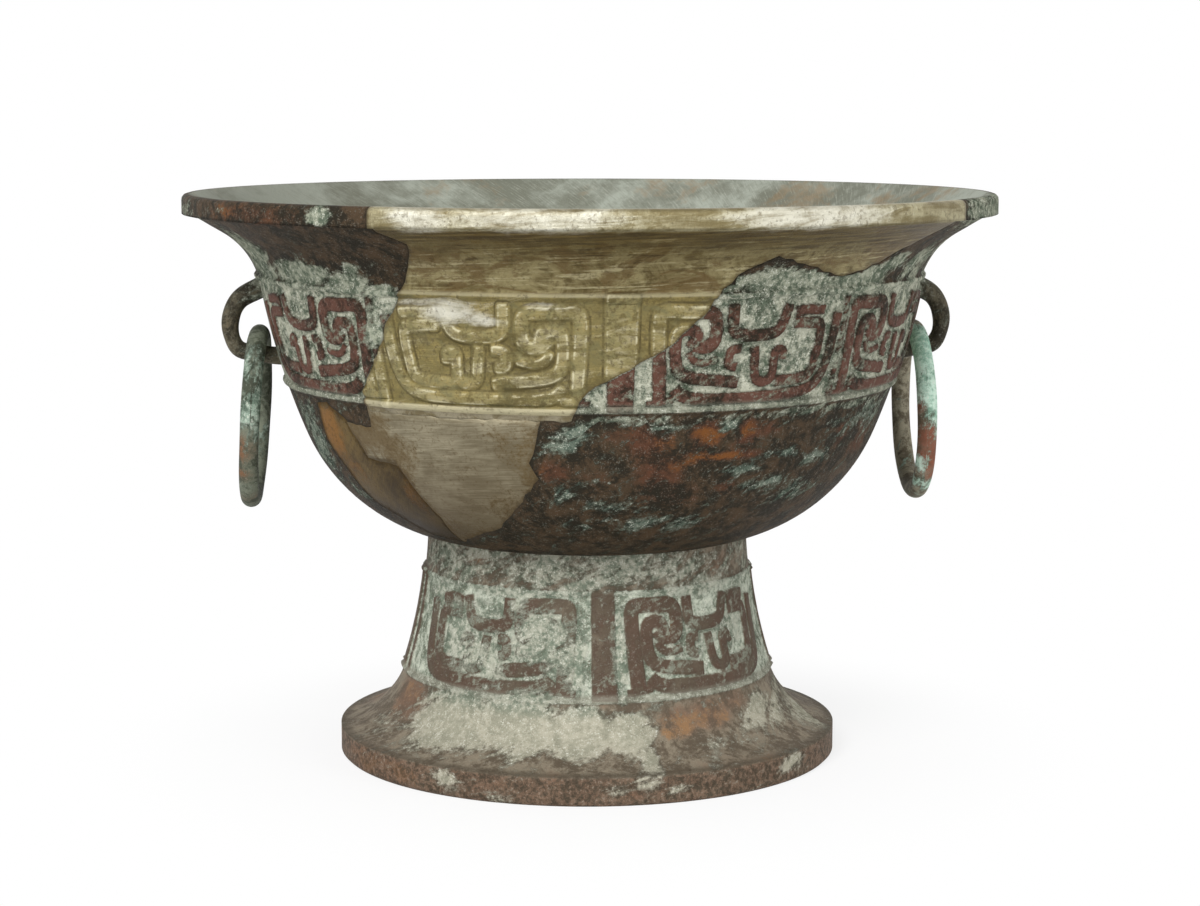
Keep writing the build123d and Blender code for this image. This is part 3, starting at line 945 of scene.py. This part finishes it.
def dress(obj, node, body, finish):
    """Gives a finished piece its material and its body, and hides the part of the frame that it stands for.
    """
    obj.data.materials.clear()
    obj.data.materials.append(finish)
    obj.data.shade_smooth()
    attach(obj, body)
    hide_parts(node)


def skin(name, rows, along, around, closed):
    """Tube over rows of points, capped where it is open; it stores each point's way along and around."""
    count, sides = len(rows), len(around)
    faces = []
    for k in range(count if closed else count - 1):
        low, high = k * sides, (k + 1) % count * sides
        faces += [(low + i, low + (i + 1) % sides, high + (i + 1) % sides, high + i) for i in range(sides)]
    if not closed:
        faces.append(tuple(range(sides))[::-1])
        faces.append(tuple((count - 1) * sides + i for i in range(sides)))
    mesh = bpy.data.meshes.new(name)
    mesh.from_pydata(np.concatenate(rows).tolist(), [], faces)
    run = np.repeat(along, sides)
    store(mesh, "wrap", np.stack([run, np.tile(around, count), 0 * run], axis=1))
    return mesh


def through(points, first, last, steps):
    """Smooth path through complex points with given end directions, and its headings."""
    points = np.array(points)
    pull = np.gradient(points)
    pull[0] = first * abs(points[1] - points[0])
    pull[-1] = last * abs(points[-1] - points[-2])
    t = np.linspace(0, 1, steps, endpoint=False)[:, None]
    path = (2 * t**3 - 3 * t**2 + 1) * points[:-1] + (3 * t**2 - 2 * t**3) * points[1:]
    path = path + (t**3 - 2 * t**2 + t) * pull[:-1] + (t**3 - t**2) * pull[1:]
    path = np.append(path.T.ravel(), points[-1])
    headings = np.gradient(path)
    return path, headings / np.abs(headings)


# Lugs and rings: each ring hangs on its lug's lower arm and leans a little outward
joint_places = {joint["name"]: joint["pos_m"] for joint in frame["joints"]}
pivot_r, _, pivot_z = joint_places["right_ring_swing"]
ring_wire = 5.8 * MM
ring_radius = 24.3 * MM
ring_twist = math.radians(-2.5)
lug_bar = 4.8 * MM
tube_sides = 32
sole = ring_wire / 2 + 0.45 * MM + lug_bar / 2
reach = ring_wire / 2 + 3.2 * MM + lug_bar / 2


def lug_mesh(name, flip):
    """Loop that leaves the wall at its lower root and runs back into it higher up."""
    pivot = pivot_r + 1j * pivot_z
    root_low = wall_radius(pivot_z - sole) - 0.6 * wall + 1j * (pivot_z - 1.15 * sole)
    root_high = wall_radius(pivot_z + 2.6 * sole) - 0.6 * wall + 1j * (pivot_z + 2.6 * sole)
    marks = [root_low, pivot - 1j * sole, pivot + 0.75 * reach - 0.7j * sole, pivot + reach + 0.5j * sole,
             pivot + 0.68 * reach + 1.75j * sole, root_high]
    inward = -1 + 0.7j
    path, headings = through(marks, 1, inward / abs(inward), 14)
    share = np.linspace(0, 1, len(path))
    growth = np.interp(share, [0, 0.5, 1], [1.1, 1.0, 1.35]) * (0.98 + 0.02 * np.sin(share * 23))
    turn = np.linspace(0, 2 * np.pi, tube_sides, endpoint=False)
    across = 0.62 * lug_bar * np.cos(turn)
    rows = []
    for place, heading, size in zip(path, headings, growth):
        section = place + 1j * heading * 0.5 * lug_bar * size * np.sin(turn)
        rows.append(np.stack([flip * section.real, flip * across * size, section.imag], axis=1))
    along = np.cumsum(np.abs(np.diff(path, prepend=path[0])))
    return skin(name, rows, along, turn * lug_bar / 2, closed=False)


def ring_mesh(name, flip, lean):
    """Cast ring, a little uneven in its wire, twisted about the upright and swung outward by the lean."""
    swing = np.linspace(0, 2 * np.pi, 160, endpoint=False)
    turn = np.linspace(0, 2 * np.pi, tube_sides, endpoint=False)
    sideways = np.array([-math.sin(ring_twist), math.cos(ring_twist), 0])
    away = np.array([math.cos(ring_twist), math.sin(ring_twist), 0])
    up = np.array([0, 0, 1])
    down = math.sin(lean) * away - math.cos(lean) * up
    over = math.cos(lean) * away + math.sin(lean) * up
    centre = np.array([pivot_r, 0, pivot_z]) + ring_radius * down
    rows = []
    for angle in swing:
        outward = math.cos(angle) * sideways + math.sin(angle) * down
        size = 0.5 * ring_wire * (0.98 - 0.02 * math.sin(3 * angle + 1) - 0.015 * math.sin(7 * angle))
        section = outward * np.cos(turn)[:, None] * size + over * np.sin(turn)[:, None] * size
        rows.append((centre + outward * ring_radius + section) * np.array([flip, flip, 1]))
    return skin(name, rows, swing * ring_radius, turn * ring_wire / 2, closed=True)


def spotted(mesh, name, spots, base=0.0):
    """Stores the strength of round spots over a base: (mm outward, along Y and up, half size, strength)."""
    points = places(mesh) / MM
    strength = np.full(len(points), base)
    for out, y, z, half, amount in spots:
        away = (np.abs(points[:, 0]) - out) ** 2 + (points[:, 1] - y) ** 2 + (points[:, 2] - z) ** 2
        strength = np.maximum(strength, amount * np.exp(-mark_fade * away / half**2))
    store(mesh, name, strength)


all_breaks = (rim_line, plate_line, strip_line)
painted_places(old_wall, frieze_radius, bowl_rust, all_breaks)
painted_places(new_wall, frieze_radius, rubbed_silver_and_highlights, (rim_line,))
painted_places(plate, frieze_radius, plate_brown, (plate_line,))
painted_places(strip, frieze_radius, strip_warm, (plate_line, strip_line))
painted_places(foot, band_radius, foot_rust)
moved = places(foot.data) + np.array([foot_shift, 0, 0])
foot.data.vertices.foreach_set("co", moved.astype(np.float32).ravel())

bowl_finish = old_bronze("red_brown_bronze", [
    (42, 38, 30), (74, 60, 45), (90, 57, 42), (114, 72, 37), (92, 103, 87), (164, 168, 149), (190, 191, 172),
], (frieze_low, frieze_high), (98, 67, 57), 0.5, (0.6, (82, 102, 93)))
foot_finish = old_bronze("crusted_foot_bronze", [
    (92, 82, 69), (134, 124, 107), (118, 92, 75), (144, 112, 80), (113, 124, 108), (174, 174, 158),
    (200, 206, 189),
], (band_low, band_high), (78, 60, 50), 0.4, (0.5, (186, 178, 158)))
lug_finish = old_bronze("lug_bronze", [
    (54, 50, 41), (98, 92, 76), (102, 82, 64), (112, 88, 64), (96, 102, 89), (146, 150, 134),
    (120, 120, 104)])
ring_finishes = {
    "left": old_bronze("grey_green_ring_bronze", [
        (72, 76, 64), (120, 125, 109), (106, 78, 58), (124, 88, 62), (106, 124, 110), (166, 184, 168),
        (120, 120, 104)]),
    "right": old_bronze("mint_ring_bronze", [
        (96, 88, 73), (152, 146, 126), (128, 76, 58), (140, 86, 64), (154, 196, 174), (218, 246, 229),
        (120, 120, 104)]),
}
plate_finish = satin_plate(
    "satin_plate", [(106, 97, 76), (147, 139, 116), (98, 81, 50), (84, 68, 42)], -3.0, 0.35)
strip_finish = satin_plate(
    "brown_gold_filler", [(60, 47, 26), (104, 86, 52), (134, 94, 44), (50, 39, 22)], -38.0, 0.12)
dress(old_wall, "bowl", "vessel", bowl_finish)
dress(new_wall, "rim_infill", "vessel", brass_filling("brushed_brass_filling"))
dress(plate, "lower_infill_plate", "vessel", plate_finish)
dress(strip, "lower_infill_strip", "vessel", strip_finish)
dress(foot, "foot", "vessel", foot_finish)

ring_leans = {"left": math.radians(3.4), "right": math.radians(1.1)}
ring_crust = {
    "left": [(99, -17, 115, 7, 0.8), (98, -24, 105, 8, 0.8), (101, -17, 86, 4, 0.7), (102, 0, 77, 10, 0.2),
             (99, 24, 100, 20, 0.3)],
    "right": [(100, -16, 120, 11, 1.1), (102, -24, 109, 9, 1.1), (104, -24, 100, 5, 0.9),
              (95, -22, 88, 4, 0.8), (99, -16, 82, 6, 0.7), (99, 24, 106, 8, 0.3)],
}
ring_rust = {
    "left": [(104, -24, 95, 6, 1.0), (103, -21, 88, 4, 0.9), (101, -13, 79, 5, 0.7), (101, 4, 77, 8, 0.5)],
    "right": [(95, -24, 107, 5, 1.1), (98, -25, 97, 6, 1.2), (100, -23, 91, 7, 1.2), (100, -19, 85, 4, 1)],
}
for side_name, flip in (("left", -1), ("right", 1)):
    lug = link(side_name + "_loop", lug_mesh(side_name + "_loop", flip))
    spotted(lug.data, "crust", [(104, 0, 119, 7, 0.55), (97, 0, 140, 7, 0.8)], 0.22)
    spotted(lug.data, "rust", [(106, 0, 130, 7, 0.6)])
    dress(lug, side_name + "_lug", "vessel", lug_finish)
    ring = link(side_name + "_hoop", ring_mesh(side_name + "_hoop", flip, ring_leans[side_name]))
    spotted(ring.data, "crust", ring_crust[side_name], 0.15)
    spotted(ring.data, "rust", ring_rust[side_name], 0.1)
    dress(ring, side_name + "_ring", side_name + "_ring", ring_finishes[side_name])

# Camera of the photograph
camera_turn = math.radians(5.3)
camera_far = 801 * MM
camera_high = 197.4 * MM
camera_pitch = math.radians(7.692)
focal_pixels = 2689
image_wide = 1200
sensor_wide = 36
shift_pixels = 10
camera = link("camera", bpy.data.cameras.new("camera"))
camera.location = (-camera_far * math.sin(camera_turn), -camera_far * math.cos(camera_turn), camera_high)
camera.rotation_euler = (math.pi / 2 - camera_pitch, 0, -camera_turn)
camera.data.sensor_width = sensor_wide
camera.data.lens = sensor_wide * focal_pixels / image_wide
camera.data.shift_x = shift_pixels / image_wide
bpy.context.scene.camera = camera
bpy.context.scene.view_settings.view_transform = "Standard"


def seen_white(graph):
    """1 for rays that show the background: from the camera, or mirrored or bent by a surface."""
    rays = graph.add("ShaderNodeLightPath")
    seen = graph.math("MAXIMUM", rays["Is Camera Ray"], rays["Is Glossy Ray"])
    return graph.math("MAXIMUM", seen, rays["Is Transmission Ray"])


def studio_world(strength):
    world = bpy.data.worlds.new("studio")
    bpy.context.scene.world = world
    world.use_nodes = True
    graph = Graph(world.node_tree)
    level = strength + (1 - strength) * seen_white(graph)
    light = graph.add("ShaderNodeBackground", None, {"Color": (1, 1, 1, 1), "Strength": level})
    graph.add("ShaderNodeOutputWorld", None, {"Surface": light})


def pale_floor(size, clear_from, clear_to):
    """White floor that keeps the shadow under the vessel and fades to plain white away from it."""
    mesh = bpy.data.meshes.new("floor")
    corners = [(-size, -size, 0), (size, -size, 0), (size, size, 0), (-size, size, 0)]
    mesh.from_pydata(corners, [], [(0, 1, 2, 3)])
    floor = link("floor", mesh)
    paint = Finish("floor_white")
    apart = paint.add("ShaderNodeVectorMath", {"operation": "LENGTH"}, {0: paint.place})["Value"]
    matte = paint.add("ShaderNodeBsdfDiffuse", None, {"Color": tone(246, 246, 246)})
    white = paint.add("ShaderNodeEmission", None, {"Color": (1, 1, 1, 1), "Strength": 1.0})
    far = paint.ramp(apart, clear_from, clear_to, 0.78, 1.0) * seen_white(paint)
    surface = paint.add("ShaderNodeMixShader", None, {0: far, 1: matte, 2: white})
    paint.add("ShaderNodeOutputMaterial", None, {"Surface": surface})
    mesh.materials.append(paint.material)


def soft_lamp(name, place, aim, size, power):
    lamp = link(name, bpy.data.lights.new(name, "AREA"))
    lamp.data.size = size
    lamp.data.energy = power
    lamp.location = place
    lamp.rotation_euler = (Vector(aim) - Vector(place)).to_track_quat("-Z", "Y").to_euler()


studio_world(strength=0.5)
pale_floor(size=6.0, clear_from=0.06, clear_to=0.16)
middle = (0, 0, 0.55 * height)
soft_lamp("key", (-0.8, -1.5, 1.4), middle, size=0.8, power=36)
soft_lamp("fill", (1.4, -1.2, 0.7), middle, size=1.0, power=9)
